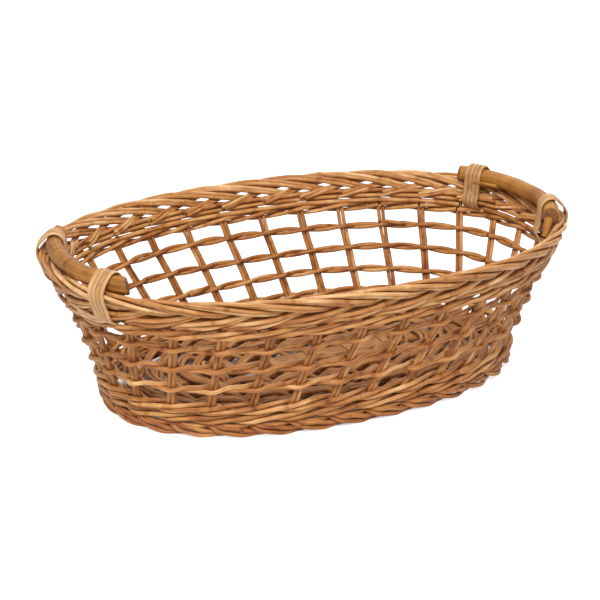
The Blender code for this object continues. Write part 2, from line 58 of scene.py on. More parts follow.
# %% Sizes of the basket
RIM_HALF_LENGTH = 0.185
RIM_HALF_WIDTH = 0.1276
FOOT_HALF_LENGTH = 0.146
FOOT_HALF_WIDTH = 0.090
OPENWORK_HEIGHT = 0.054
ROD_DIAMETER = 0.003
ROD_CLEARANCE = 0.00035
ROD_RADIUS = ROD_DIAMETER / 2
ROD_PITCH = ROD_DIAMETER + ROD_CLEARANCE
OVAL_POWER = 2.25
FLARE_POWER = 1.25
STAKE_COUNT = 30
STAKE_LEAN = 0.8
FOOT_HEIGHT = 3.4 * ROD_PITCH
WALE_STROKE = 1.08 * ROD_PITCH
WALE_ROUND = WALE_STROKE + ROD_PITCH
LOWER_WALE_MIDDLE = FOOT_HEIGHT + ROD_RADIUS + WALE_STROKE / 2
LOWER_WALE_TOP = FOOT_HEIGHT + 2 * WALE_ROUND
UPPER_WALE_MIDDLE = LOWER_WALE_TOP + OPENWORK_HEIGHT + ROD_RADIUS + WALE_STROKE / 2
BORDER_START = LOWER_WALE_TOP + OPENWORK_HEIGHT + WALE_ROUND
RIM_HEIGHT = BORDER_START + 6.5 * ROD_PITCH

print("rim height", round(RIM_HEIGHT, 4), "stakes", STAKE_COUNT)

# %% [markdown]
# The wall is one surface with two parameters: how far round, counted in stakes, and how high. It could be
# modelled by hand, but then each rod would have to be fitted to it. With a formula a rod is a list of
# places. A superellipse gives the oval, a power gives the flare, and the stakes lean to the right as they
# rise. Points beside the wall are reached along its outward direction, so a rod can pass before or behind.

# %% The wall as a surface
WALL_STEP = 0.02
RIM_SAMPLES = 2881


def oval(half_length, half_width, angle):
    """x is the half length times cos to the power 2/n, y the half width times sin to the same power."""
    x = half_length * np.sign(np.cos(angle)) * np.abs(np.cos(angle)) ** (2 / OVAL_POWER)
    y = half_width * np.sign(np.sin(angle)) * np.abs(np.sin(angle)) ** (2 / OVAL_POWER)
    return x, y


def walked_along(points):
    """Distance walked along a path, up to each of its points."""
    return np.concatenate([[0], np.cumsum(np.linalg.norm(np.diff(points, axis=0), axis=1))])


RIM_ANGLES = np.linspace(0, 2 * np.pi, RIM_SAMPLES)
RIM_WALKED = walked_along(np.column_stack(oval(RIM_HALF_LENGTH, RIM_HALF_WIDTH, RIM_ANGLES)))
RIM_PLACES = RIM_WALKED / RIM_WALKED[-1] * STAKE_COUNT


def wall_surface(place, height):
    """The oval at this height, which grows from foot to rim with the height's share to the flare power."""
    place, height = np.broadcast_arrays(np.asarray(place, float), np.asarray(height, float))
    lean = STAKE_LEAN * np.minimum(height / BORDER_START - 1, 0)
    rise = (np.maximum(height, 0) / RIM_HEIGHT) ** FLARE_POWER
    half_length = FOOT_HALF_LENGTH + (RIM_HALF_LENGTH - FOOT_HALF_LENGTH) * rise
    half_width = FOOT_HALF_WIDTH + (RIM_HALF_WIDTH - FOOT_HALF_WIDTH) * rise
    x, y = oval(half_length, half_width, np.interp((place + lean) % STAKE_COUNT, RIM_PLACES, RIM_ANGLES))
    return np.stack([x, y, height], axis=-1)


def unit(vectors):
    """Vectors of the same directions whose length is one."""
    return vectors / np.linalg.norm(vectors, axis=-1, keepdims=True)


def wall_axes(place, height):
    """Unit vectors along the wall to the right, and out of it, from small steps along both parameters."""
    rise = WALL_STEP * ROD_DIAMETER
    height = np.maximum(np.asarray(height, float), rise)
    along = wall_surface(place + WALL_STEP, height) - wall_surface(place - WALL_STEP, height)
    up = wall_surface(place, height + rise) - wall_surface(place, height - rise)
    return unit(along), unit(np.cross(along, up))


def wall_points(place, outwards, height):
    """A point of the wall plus its outward direction times the distance outwards."""
    return wall_surface(place, height) + wall_axes(place, height)[1] * np.asarray(outwards)[..., None]


print("rim circumference", round(RIM_WALKED[-1], 3))

# %% [markdown]
# Rods bend smoothly, and no rod that grew is quite straight or even. The way of a rod is known at a few
# points. Straight lines between them would show as kinks, so a cubic joins them, and three slow sine waves
# are added as the rod's own unevenness. They come from one seeded source of chance, so that each run makes
# the same basket.

# %% Smooth and slightly uneven ways
RING_STEP = 0.0017
SIDE_WAVER = 0.0002
DEPTH_WAVER = 0.00015
HEIGHT_WAVER = 0.0003
HEIGHT_WAVE = 0.09
WAVE_SHARES = np.array([1.0, 0.61, 0.37])

chance = np.random.default_rng(11)


def smooth_through(marks, values, wanted):
    """A cubic through the values at the marks, whose slope at each mark is that of its two neighbours."""
    slopes = np.gradient(values, marks, axis=0)
    left = np.clip(np.searchsorted(marks, wanted, side="right") - 1, 0, len(marks) - 2)
    width = (marks[left + 1] - marks[left])[:, None]
    t = (wanted - marks[left])[:, None] / width
    return (
        (2 * t**3 - 3 * t**2 + 1) * values[left]
        + (t**3 - 2 * t**2 + t) * width * slopes[left]
        + (3 * t**2 - 2 * t**3) * values[left + 1]
        + (t**3 - t**2) * width * slopes[left + 1]
    )


def wobble(walked, size, wave=0.05):
    """The mean of three sine waves of unlike length, at chance places, times the size."""
    turns = walked[:, None] / (wave * WAVE_SHARES) + chance.random(3)
    return size * np.sin(2 * np.pi * turns).mean(axis=1)


print("rings along a rod are", RING_STEP, "apart")

# %% [markdown]
# A rod is a circle carried along a line. Curve objects could do that, but a mesh worked out from arrays lets
# each point carry its own place on the rod. The grain of the wood follows those numbers, so it runs along
# every bend without a seam. Each point also carries a tone, because the rods of one bundle differ a little.
# On the stakes that tone also holds painted shade at the foot and painted light at the border.

# %% Carry a profile along a way
ROD_SIDES = 10
SHADED_ROD_SIDES = 8
MIDDLE_TONE = 0.5
TONE_SPREAD = 0.15
GRAIN_SHIFT = 3


def carried(points, side, up, outline, tone, closed=False):
    """Corner k of ring i is point i plus outline k's first number along side, its second along up."""
    rings, corners = len(points), outline.shape[-2]
    outline = np.broadcast_to(outline, (rings, corners, 2))
    surface = points[:, None] + side[:, None] * outline[..., :1] + up[:, None] * outline[..., 1:]
    first = np.arange(rings if closed else rings - 1)[:, None] * corners
    next_first = (first + corners) % (rings * corners)
    corner = np.arange(corners)
    after = (corner + 1) % corners
    quads = np.stack([first + corner, first + after, next_first + after, next_first + corner], axis=-1)
    walked = np.broadcast_to(walked_along(points)[:, None], (rings, corners))
    grain = np.concatenate([walked[..., None] + GRAIN_SHIFT * tone, outline], axis=-1)
    last = (rings - 1) * corners
    return {
        "points": surface.reshape(-1, 3),
        "quads": quads.reshape(-1, 4),
        "caps": [] if closed else [corner[::-1], corner + last],
        "grain": grain.reshape(-1, 3),
        "tone": np.full(rings * corners, tone),
    }


def own_tone():
    """The tone of one rod, by chance around the middle one."""
    return MIDDLE_TONE + TONE_SPREAD * chance.uniform(-1, 1)


def circle(sides):
    """The corners of a regular polygon round a circle of radius one."""
    turn = np.arange(sides) / sides * 2 * np.pi
    return np.column_stack([np.cos(turn), np.sin(turn)])


def square_to(ahead, wanted):
    """The wanted directions less their share along the way, so that they stand square to it."""
    return unit(wanted - ahead * (wanted * ahead).sum(axis=1, keepdims=True))


def rod(points, out, radius, sides=ROD_SIDES, painted_light=0.0):
    """A circle of this radius carried along the points, its first corner turned outwards."""
    ahead = unit(np.gradient(points, axis=0))
    side = square_to(ahead, out)
    radius = np.broadcast_to(radius, len(points))
    shape = carried(points, side, np.cross(ahead, side), radius[:, None, None] * circle(sides), own_tone())
    # painted_light is added to the tone: painted shade where it is below nought, painted light where it is
    # above
    shape["tone"] = shape["tone"] + np.repeat(np.broadcast_to(painted_light, len(points)), sides)
    return shape


def ahead_on_loop(points):
    """Unit vectors along a closed path, each from the point before to the point after."""
    return unit(np.roll(points, -1, axis=0) - np.roll(points, 1, axis=0))


def closed_rod(points, out, radius):
    """A circle carried along points that go once round, with its last ring joined to its first."""
    up = np.cross(ahead_on_loop(points), out)
    return carried(points, out, up, radius * circle(SHADED_ROD_SIDES), own_tone(), closed=True)


print("a test rod has", len(rod(np.eye(3), np.eye(3)[::-1] + 0.1, 1.0)["quads"]), "faces")

# %% [markdown]
# Each node of the model is replaced by one object that holds all the rods of that piece. One object for each
# rod would also do, but this keeps the model's pieces. The grain and the tone become attributes of the
# points, all at once.

# %% Join shapes in one piece
SHARP_ANGLE = math.radians(55)


def new_piece(name, shapes, materials, nodes):
    """Joins shapes in one mesh at the origin. Cut ends take the second material."""
    starts = np.cumsum([0] + [len(shape["points"]) for shape in shapes[:-1]])
    quads = np.concatenate([shape["quads"] + start for start, shape in zip(starts, shapes)])
    caps = [(cap + start).tolist() for start, shape in zip(starts, shapes) for cap in shape["caps"]]
    mesh = bpy.data.meshes.new(name)
    points = np.concatenate([shape["points"] for shape in shapes])
    mesh.from_pydata(points.tolist(), [], quads.tolist() + caps)
    mesh.polygons.foreach_set("material_index", [0] * len(quads) + [1] * len(caps))
    grain = mesh.attributes.new("grain", "FLOAT_VECTOR", "POINT")
    grain.data.foreach_set("vector", np.concatenate([shape["grain"] for shape in shapes]).ravel())
    tone = mesh.attributes.new("tone", "FLOAT", "POINT")
    tone.data.foreach_set("value", np.concatenate([shape["tone"] for shape in shapes]))
    mesh.shade_smooth()
    mesh.set_sharp_from_angle(angle=SHARP_ANGLE)
    for material in materials:
        mesh.materials.append(material)
    piece = bpy.data.objects.new(name, mesh)
    bpy.context.scene.collection.objects.link(piece)
    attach(piece, "root")
    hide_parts(*nodes)
    return piece


print("nodes in the packed model", len(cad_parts))

# %% [markdown]
# Peeled and stained rods vary: each has its own tone, long cloudy patches, fine streaks along the grain and
# a few dark joints where side shoots grew. A picture of wood could be wrapped round the rods, but it would
# repeat. One node group works the shade out instead, from the numbers that the points carry, stretched so
# that the streaks run along the rod. Every material uses the group with its own colours.

# %% The wood grain group
STREAK_DETAIL = 4.0
STREAK_ROUGHNESS = 0.62
CLOUD_SCALE = 55.0
CLOUD_DETAIL = 3.0
CLOUD_STRENGTH = 1.1
JOINT_SCALE = 90.0
JOINT_DETAIL = 1.0
JOINT_START = 0.66
JOINT_FULL = 0.74
JOINT_DARKENING = -0.2


def arithmetic(tree, operation, *values):
    """The output of a Math node. A number is written on its socket, and another node's output is linked."""
    node = tree.nodes.new("ShaderNodeMath")
    node.operation = operation
    for socket, value in zip(node.inputs, values):
        if isinstance(value, bpy.types.NodeSocket):
            tree.links.new(value, socket)
        else:
            socket.default_value = value
    return node.outputs[0]


def noise(tree, place, scale, detail, roughness=0.5, dimensions="3D"):
    """The grey value of a noise texture at a place, or along one number."""
    texture = tree.nodes.new("ShaderNodeTexNoise")
    texture.noise_dimensions = dimensions
    texture.inputs["Scale"].default_value = scale
    texture.inputs["Detail"].default_value = detail
    texture.inputs["Roughness"].default_value = roughness
    tree.links.new(place, texture.inputs["W" if dimensions == "1D" else "Vector"])
    return texture.outputs["Fac"]


def ranged(tree, value, start, full, low, high):
    """Low up to the start, high from the full value on, and a straight line between."""
    node = tree.nodes.new("ShaderNodeMapRange")
    for socket, number in zip(("From Min", "From Max", "To Min", "To Max"), (start, full, low, high)):
        node.inputs[socket].default_value = number
    tree.links.new(value, node.inputs["Value"])
    return node.outputs["Result"]


def make_wood_grain():
    """Tone plus broad noise, plus stretched fine noise times the depth, less the peaks of a slow noise."""
    group = bpy.data.node_groups.new("wood_grain", "ShaderNodeTree")
    group.interface.new_socket("Place", in_out="INPUT", socket_type="NodeSocketVector")
    for name in ("Tone", "Streaks across", "Streaks along", "Streak depth"):
        group.interface.new_socket(name, in_out="INPUT", socket_type="NodeSocketFloat")
    for name in ("Streaks", "Shade"):
        group.interface.new_socket(name, in_out="OUTPUT", socket_type="NodeSocketFloat")
    given = group.nodes.new("NodeGroupInput").outputs
    split = group.nodes.new("ShaderNodeSeparateXYZ")
    group.links.new(given["Place"], split.inputs[0])
    stretched = group.nodes.new("ShaderNodeCombineXYZ")
    for axis, scale in (("X", "Streaks along"), ("Y", "Streaks across"), ("Z", "Streaks across")):
        times = arithmetic(group, "MULTIPLY", split.outputs[axis], given[scale])
        group.links.new(times, stretched.inputs[axis])
    streaks = noise(group, stretched.outputs[0], 1.0, STREAK_DETAIL, STREAK_ROUGHNESS)
    clouds = noise(group, given["Place"], CLOUD_SCALE, CLOUD_DETAIL)
    cloud_shade = arithmetic(group, "MULTIPLY_ADD", clouds, CLOUD_STRENGTH, -CLOUD_STRENGTH / 2)
    around_nought = arithmetic(group, "SUBTRACT", streaks, 0.5)
    streak_shade = arithmetic(group, "MULTIPLY", around_nought, given["Streak depth"])
    peaks = noise(group, split.outputs["X"], JOINT_SCALE, JOINT_DETAIL, dimensions="1D")
    joint_shade = ranged(group, peaks, JOINT_START, JOINT_FULL, 0, JOINT_DARKENING)
    total = given["Tone"]
    for shade in (cloud_shade, streak_shade, joint_shade):
        total = arithmetic(group, "ADD", total, shade)
    result = group.nodes.new("NodeGroupOutput")
    group.links.new(streaks, result.inputs["Streaks"])
    group.links.new(total, result.inputs["Shade"])
    return group


wood_grain = make_wood_grain()
print("group outputs", [item.name for item in wood_grain.interface.items_tree if item.in_out == "OUTPUT"])

# %% [markdown]
# A wood material reads its shade from a ramp of four colours, from the dark brown of old bark lines to the
# pale straw of a fresh split. One flat colour would look like plastic. The surface is satin: streaks change
# the roughness a little and lift the surface by a few hundredths of a millimetre. Each part of the basket
# has its own ramp: the cane is the yellowest, the lashings are the palest, and the cut ends are the dullest.

# %% Wood materials
SPECULAR_LEVEL = 0.35
RAMP_PLACES = (0.02, 0.34, 0.66, 0.98)
ROUGHNESS_SPREAD = 0.1
RELIEF_STRENGTH = 0.6


def linear(red, green, blue):
    """A colour as seen on the screen, made the linear colour that the shader works with."""
    seen = np.array([red, green, blue])
    return (*np.where(seen <= 0.04045, seen / 12.92, ((seen + 0.055) / 1.055) ** 2.4).tolist(), 1.0)


def ramp_of(tree, shade, colours):
    """A ramp through four colours, from dark to pale, read at this shade."""
    ramp = tree.nodes.new("ShaderNodeValToRGB")
    elements = ramp.color_ramp.elements
    elements[0].position = RAMP_PLACES[0]
    elements[1].position = RAMP_PLACES[-1]
    for share in RAMP_PLACES[1:-1]:
        elements.new(share)
    for element, colour in zip(elements, colours):
        element.color = linear(*colour)
    tree.links.new(shade, ramp.inputs["Fac"])
    return ramp.outputs["Color"]


def place_on_rod(tree, grain):
    """The grain and the tone that the points of a rod carry, linked to the group."""
    for attribute, output, socket in (("grain", "Vector", "Place"), ("tone", "Fac", "Tone")):
        reader = tree.nodes.new("ShaderNodeAttribute")
        reader.attribute_name = attribute
        tree.links.new(reader.outputs[output], grain.inputs[socket])


def wood(name, colours, roughness, across=1500, along=40, depth=0.9, relief=0.0003, from_points=True):
    """A ramp of four colours read at the group's shade. The model's own sticks read object coordinates."""
    material = bpy.data.materials.new(name)
    material.use_nodes = True
    tree = material.node_tree
    shader = tree.nodes["Principled BSDF"]
    shader.inputs["Specular IOR Level"].default_value = SPECULAR_LEVEL
    grain = tree.nodes.new("ShaderNodeGroup")
    grain.node_tree = wood_grain
    grain.inputs["Streaks across"].default_value = across
    grain.inputs["Streaks along"].default_value = along
    grain.inputs["Tone"].default_value = MIDDLE_TONE
    grain.inputs["Streak depth"].default_value = depth
    if from_points:
        place_on_rod(tree, grain)
    else:
        place = tree.nodes.new("ShaderNodeTexCoord")
        tree.links.new(place.outputs["Object"], grain.inputs["Place"])
    tree.links.new(ramp_of(tree, grain.outputs["Shade"], colours), shader.inputs["Base Color"])
    smoothest, roughest = roughness - ROUGHNESS_SPREAD, roughness + ROUGHNESS_SPREAD
    rough = ranged(tree, grain.outputs["Streaks"], 0, 1, smoothest, roughest)
    tree.links.new(rough, shader.inputs["Roughness"])
    bump = tree.nodes.new("ShaderNodeBump")
    bump.inputs["Distance"].default_value = relief
    bump.inputs["Strength"].default_value = RELIEF_STRENGTH
    tree.links.new(grain.outputs["Streaks"], bump.inputs["Height"])
    tree.links.new(bump.outputs["Normal"], shader.inputs["Normal"])
    return material


stake_wood = wood("stake_rod_wood", (
    (0.42, 0.18, 0.04), (0.63, 0.375, 0.165), (0.785, 0.555, 0.32), (0.93, 0.77, 0.56),
), roughness=0.5, depth=1.3)
weaver_wood = wood("weaving_rod_wood", (
    (0.44, 0.20, 0.05), (0.66, 0.41, 0.185), (0.805, 0.575, 0.335), (0.93, 0.76, 0.54),
), roughness=0.5, depth=1.3)
handle_wood = wood("handle_cane_wood", (
    (0.37, 0.195, 0.05), (0.60, 0.38, 0.13), (0.71, 0.485, 0.2), (0.80, 0.60, 0.29),
), roughness=0.58, along=25, depth=1.5)
binding_wood = wood("binding_cane_skin", (
    (0.52, 0.33, 0.155), (0.72, 0.53, 0.335), (0.81, 0.635, 0.435), (0.88, 0.73, 0.55),
), roughness=0.4, along=30, depth=1.3, relief=0.0002)
# The base rods' ramp is darker and greyer than the weaving rods', as painted shade for a base that lies in
# shadow.
base_wood_painted_shade = wood("base_rod_painted_shade_wood", (
    (0.38, 0.20, 0.08), (0.57, 0.355, 0.18), (0.69, 0.475, 0.27), (0.78, 0.59, 0.38),
), roughness=0.6)
stick_wood = wood("base_stick_wood", (
    (0.40, 0.24, 0.11), (0.58, 0.38, 0.20), (0.68, 0.48, 0.28), (0.76, 0.58, 0.38),
), roughness=0.6, across=400, along=400, relief=0.0002, from_points=False)
cut_wood = wood("cut_end_wood", (
    (0.32, 0.18, 0.08), (0.47, 0.30, 0.14), (0.61, 0.42, 0.22), (0.76, 0.57, 0.35),
), roughness=0.75, across=1800, along=60, depth=1.5)
print("materials", len(bpy.data.materials))

# %% [markdown]
# The stakes are the skeleton. Each pair of rods starts tucked in the foot, climbs the wall, and ends as the
# border: outside the next stake, in, along the inner top edge, over the top, down the outer band and in
# again. Thirty of them could be bent by hand, and no two would fit. So two small tables give the way once,
# in stakes to the right and in rods outwards and up, with the turn of the pair, and every stake follows them.

# %% The way of a stake pair
BORDER_STEPS = np.array([
    (0.03, 0.36, 0.25, 0.1),
    (0.13, 0.62, 0.85, 0.1),
    (0.5, 0.97, 1.46, 0.1),
    (1.0, 1.02, 2.20, 0.1),
    (1.5, 0.10, 3.14, 0.15),
    (2.0, -0.67, 4.02, 0.2),
    (2.5, -0.61, 4.92, 0.35),
    (3.0, 0.0, 5.66, 0.5),
    (3.5, 0.65, 5.78, 0.4),
    (4.0, 1.04, 5.30, 0.2),
    (4.5, 1.05, 4.38, 0.05),
    (5.0, 0.20, 3.30, 0.15),
    (5.3, -0.65, 2.62, 0.15),
    (5.65, -1.55, 1.70, 0.05),
    (6.0, -1.95, 0.95, 0.05),
])
FOOT_STEPS = np.array([
    (2.2, -1.30, 1.15, -0.3),
    (1.9, -0.75, 1.05, -0.3),
    (1.55, -0.10, 0.95, -0.25),
    (1.25, 0.28, 0.84, -0.2),
    (1.0, 0.95, 1.00, -0.1),
    (0.65, 1.38, 1.60, 0.0),
    (0.3, 1.25, 2.28, 0.1),
    (0.12, 0.65, 2.74, 0.3),
    (0.0, 0.05, 3.05, 0.0),
])
WALL_STEPS = 5
PAIR_RIM_THICKNESS = 0.96
PAIR_TIP_THICKNESS = 0.74


def stake_controls():
    """The places, distances outwards, heights, turns and thicknesses that a pair goes through."""
    rise = np.linspace(FOOT_STEPS[-1, 2] * ROD_PITCH, BORDER_START - ROD_RADIUS, WALL_STEPS + 1)[1:]
    still = np.zeros(WALL_STEPS)
    border_height = BORDER_START + BORDER_STEPS[:, 2] * ROD_PITCH
    thinning = np.linspace(PAIR_RIM_THICKNESS, PAIR_TIP_THICKNESS, len(BORDER_STEPS))
    return np.column_stack([
        np.concatenate([FOOT_STEPS[:, 0], still, BORDER_STEPS[:, 0]]),
        np.concatenate([FOOT_STEPS[:, 1], still, BORDER_STEPS[:, 1]]) * ROD_PITCH,
        np.concatenate([FOOT_STEPS[:, 2] * ROD_PITCH, rise, border_height]),
        np.concatenate([FOOT_STEPS[:, 3], still, BORDER_STEPS[:, 3]]),
        np.concatenate([np.ones(len(FOOT_STEPS)), np.linspace(1, PAIR_RIM_THICKNESS, WALL_STEPS), thinning]),
    ])


print("points on the way of a pair", len(stake_controls()))

# %% [markdown]
# In the model a pair is one solid with a groove. The real pair is two round rods that part a little below
# the border, so here each rod runs half a pair's width to one side of the way. In the foot and at the
# border's start the two lie one over the other by part of a rod. In the photo the foot is darker than the
# wall and the border is paler, so the tone changes along the rod as well: painted shade at the foot and
# painted light on the border.

# %% Two rods of a pair
SLIT_WIDTH = 0.0008
SLIT_SHARES = (0.1, 1)
SLIT_LEVEL = 0.9 * BORDER_START
SLIT_LENGTH = 0.012
PAIR_CLOSENESS = 0.97
FOOT_SWELL = 0.05
BORDER_SWELL = 0.08
# Painted shade darkens the foot and painted light lifts the border, by height
FOOT_PAINTED_SHADE = -0.12
BORDER_PAINTED_LIGHT = 0.17
PAINTED_LIGHT_LEVELS = (FOOT_HEIGHT, 2 * FOOT_HEIGHT, BORDER_START, BORDER_START + 3 * ROD_PITCH)
FOOT_STAGGER = 0.42
FOOT_STAGGER_REACH = (0.7, 0.35)
BORDER_STAGGER = 0.4
BORDER_STAGGER_REACH = (0.65, 0.25)
TRIMMED_RINGS = 4


def bell(values, centre, width):
    """The bell curve: e to the minus square of the distance from the centre, in widths."""
    return np.exp(-(((values - centre) / width) ** 2))


def stake_pair(index):
    """Two rods side by side, each half the pair's width from its middle, with painted shade below and painted
    light above.
    """
    controls = stake_controls()
    marks = walked_along(wall_points(controls[:, 0] + index, controls[:, 1], controls[:, 2]))
    walked = np.linspace(0, marks[-1], int(marks[-1] / RING_STEP))
    place, outwards, height, turn, thickness = smooth_through(marks, controls, walked).T
    place = place + index
    middle = wall_points(place, outwards, height)
    _, out = wall_axes(place, height)
    in_wall = np.cross(out, unit(np.gradient(middle, axis=0)))
    wide = in_wall * np.cos(turn)[:, None] + out * np.sin(turn)[:, None]
    slit = SLIT_WIDTH * chance.uniform(*SLIT_SHARES) * bell(height, SLIT_LEVEL, SLIT_LENGTH)
    in_foot = bell(place - index, *FOOT_STAGGER_REACH) * (height < FOOT_HEIGHT)
    in_border = bell(place - index, *BORDER_STAGGER_REACH) * (height > BORDER_START)
    thick = thickness * (1 + FOOT_SWELL * (height < FOOT_HEIGHT) + BORDER_SWELL * (height > BORDER_START))
    # painted shade at the foot and painted light at the border, by height along the rod
    painted_light = np.interp(height, PAINTED_LIGHT_LEVELS, [FOOT_PAINTED_SHADE, 0, 0, BORDER_PAINTED_LIGHT])
    rods = []
    for side in (-1, 1):
        apart = side * (PAIR_CLOSENESS * ROD_RADIUS * thickness + slit / 2)
        apart = apart + wobble(walked, SIDE_WAVER)
        points = middle + wide * apart[:, None] + out * wobble(walked, DEPTH_WAVER)[:, None]
        upper = side * wide[:, 2] > 0
        points[:, 2] += ROD_PITCH * (FOOT_STAGGER * in_foot * upper - BORDER_STAGGER * in_border * ~upper)
        points[:, 2] = np.maximum(points[:, 2], ROD_RADIUS * thick)
        kept = len(points) - chance.integers(0, TRIMMED_RINGS)
        rods.append(rod(points[:kept], out[:kept], ROD_RADIUS * thick[:kept], painted_light=painted_light[:kept]))
    return rods


print("the pairs part by up to", SLIT_WIDTH)

# %% [markdown]
# Real rods press into each other, so a border or a foot lets little light through. The solids of the model
# keep a clearance instead. Thicker rods would change the look of the weave, so each stake gets two short
# packing rods, one in the foot and one inside the border, which only show as more of the same weave.

# %% Stakes with their packing rods
SHORT_ROD_RINGS = 26
ABOVE_BORDER = np.array([0, 0, BORDER_START / ROD_PITCH])
FOOT_PACKING = np.array([
    (1.1, -0.2, 2.3), (0.85, 0.6, 2.65), (0.6, 0.95, 2.85), (0.35, 0.8, 2.95), (0.1, 0.0, 2.9),
])
BORDER_PACKING = np.array([(0.1, -0.5, 2.5), (0.7, -0.7, 2.2), (1.3, -0.8, 1.9), (1.9, -0.75, 1.75)])
PACKING_RADIUS = 0.95 * ROD_RADIUS


def short_rod(steps, first_radius, last_radius, place=0):
    """A rod through a few steps of places, distances outwards and heights, in stakes and rod pitches."""
    marks = np.arange(len(steps), dtype=float)
    way = smooth_through(marks, steps, np.linspace(0, marks[-1], SHORT_ROD_RINGS))
    step_place, outwards, height = way.T
    step_place = step_place + place
    points = wall_points(step_place, outwards * ROD_PITCH, height * ROD_PITCH)
    radius = np.linspace(first_radius, last_radius, len(points))
    return rod(points, wall_axes(step_place, height * ROD_PITCH)[1], radius)


for index in range(STAKE_COUNT):
    name = f"stake_pair_{index + 1:02d}"
    packing = [
        short_rod(steps, PACKING_RADIUS, PACKING_RADIUS, index)
        for steps in (FOOT_PACKING, BORDER_PACKING + ABOVE_BORDER)
    ]
    new_piece(f"rods_of_{name}", stake_pair(index) + packing, (stake_wood, cut_wood), [name])
print("stake rods", 2 * STAKE_COUNT, "packing rods", 2 * STAKE_COUNT)

# %% [markdown]
# Pairing binds the open wall: two rods twist round each other once between every two stakes. An even twist
# would cut through the stakes. So, seen from above, each rod swings in and out as a cosine, and a sine lifts
# it over its partner where they cross. The cosine is cubed, because the two strands close up as soon as they
# have passed a stake. Two rods have a short loose end on the inside, as in the photo.

# %% Pairing rows
PAIRING_HEIGHTS = {"bottom": 0.22, "middle": 0.51, "top": 0.81}
END_SHARE = 0.03
WEAVER_SWELL = 1.05
SWELL_WAVER = 0.08
SWELL_WAVE = 0.12
STRAND_LIFT = 0.4 * ROD_PITCH
ROW_SAG = 0.0007
SAG_WAVES = 4
LOOSE_END_THINNING = 0.8
LOOSE_ENDS = {
    "pairing_bottom_a": [(9.8, -0.9, -0.35), (9.5, -1.2, 0.1), (9.15, -1.35, 0.65)],
    "pairing_top_a": [(3.4, -0.9, 0.1), (3.8, -1.2, 0.45), (4.1, -1.35, 0.8)],
}


def weaver(place, side, height):
    """A rod whose distance outwards is side times a rod's pitch, a little uneven in place and thickness."""
    rough = walked_along(wall_surface(place, height))
    outwards = side * ROD_PITCH + wobble(rough, SIDE_WAVER)
    height = height + wobble(rough, HEIGHT_WAVER, HEIGHT_WAVE)
    radius = ROD_RADIUS * (WEAVER_SWELL + wobble(rough, SWELL_WAVER, SWELL_WAVE))
    return rod(wall_points(place, outwards, height), wall_axes(place, height)[1], radius)


def pairing_rod(middle, start, sag):
    """Cosine cubed outwards, a sine upwards, and the row's own slow wave, shared by both strands."""
    count = int(RIM_WALKED[-1] / RING_STEP)
    place = np.linspace(start + END_SHARE, start + STAKE_COUNT - END_SHARE, count)
    turn = np.pi * (place - start + 1)
    row_wave = ROW_SAG * np.sin(2 * np.pi * (place * SAG_WAVES / STAKE_COUNT + sag))
    return weaver(place, np.cos(turn) ** 3, middle + row_wave + np.sin(turn) * STRAND_LIFT)


for row, share in PAIRING_HEIGHTS.items():
    sag = chance.random()
    middle = LOWER_WALE_TOP + share * OPENWORK_HEIGHT
    for strand, start in (("a", 1), ("b", 0)):
        name = f"pairing_{row}_{strand}"
        shapes = [pairing_rod(middle, start, sag)]
        if name in LOOSE_ENDS:
            steps = np.array(LOOSE_ENDS[name]) + [0, 0, middle / ROD_PITCH]
            shapes.append(short_rod(steps, ROD_RADIUS, LOOSE_END_THINNING * ROD_RADIUS))
        new_piece(f"rod_of_{name}", shapes, (weaver_wood, cut_wood), [name])
print("pairing rods", 2 * len(PAIRING_HEIGHTS), "loose ends", len(LOOSE_ENDS))

# %% [markdown]
# Waling closes the wall above the foot and below the border. Three rods take turns: each passes outside two
# stakes while it rises, and behind the third. The lower band steps up after one round and goes round again.
# A repeated short pattern could be bent round the wall, but it would stretch at the tips. Six steps per
# stroke, smoothed, give each rod its own way instead.

# %% The way of a wale rod
WALE_RODS = 3
WALE_END_STROKES = 2
WALE_STEPS = np.array([(0, 1, -0.5), (0.5, 1, 0), (1, 1, 0.5), (1.5, 0, 0.5), (2, -1, 0), (2.5, 0, -0.5)])


def wale_rod(rod_number, middle, rounds):
    """The six steps repeated every three stakes, smoothed, with a climb of one round at the step up."""
    strokes = STAKE_COUNT * rounds // WALE_RODS - (rounds - 1) * WALE_END_STROKES
    periods = np.repeat(np.arange(-1, strokes + 2), len(WALE_STEPS)) * WALE_RODS
    steps = np.tile(WALE_STEPS, (strokes + 3, 1))
    steps[:, 0] += periods + rod_number
    start = rod_number + WALE_RODS - 1
    count = int(RIM_WALKED[-1] * rounds / RING_STEP)
    place = np.linspace(start + END_SHARE, start + WALE_RODS * strokes - END_SHARE, count)
    side, lift = smooth_through(steps[:, 0], steps[:, 1:], place).T
    climb = np.interp(place, [STAKE_COUNT - 1, STAKE_COUNT + 2], [0, 1]) * (rounds - 1)
    return weaver(place, side, middle + climb * WALE_ROUND + lift * WALE_STROKE)


print("steps of a stroke", len(WALE_STEPS))

# %% [markdown]
# The photo shows rods and little light behind the border and the foot. Thicker stakes could close the gaps
# there, but would look wrong outside. So four hoops, one in the foot and three in the border, and four rods
# between the bindings close them from the inside. They belong to the pieces of the wales. The hoops pass
# inside the bindings, as the border does, and the four rods stop short of each binding.

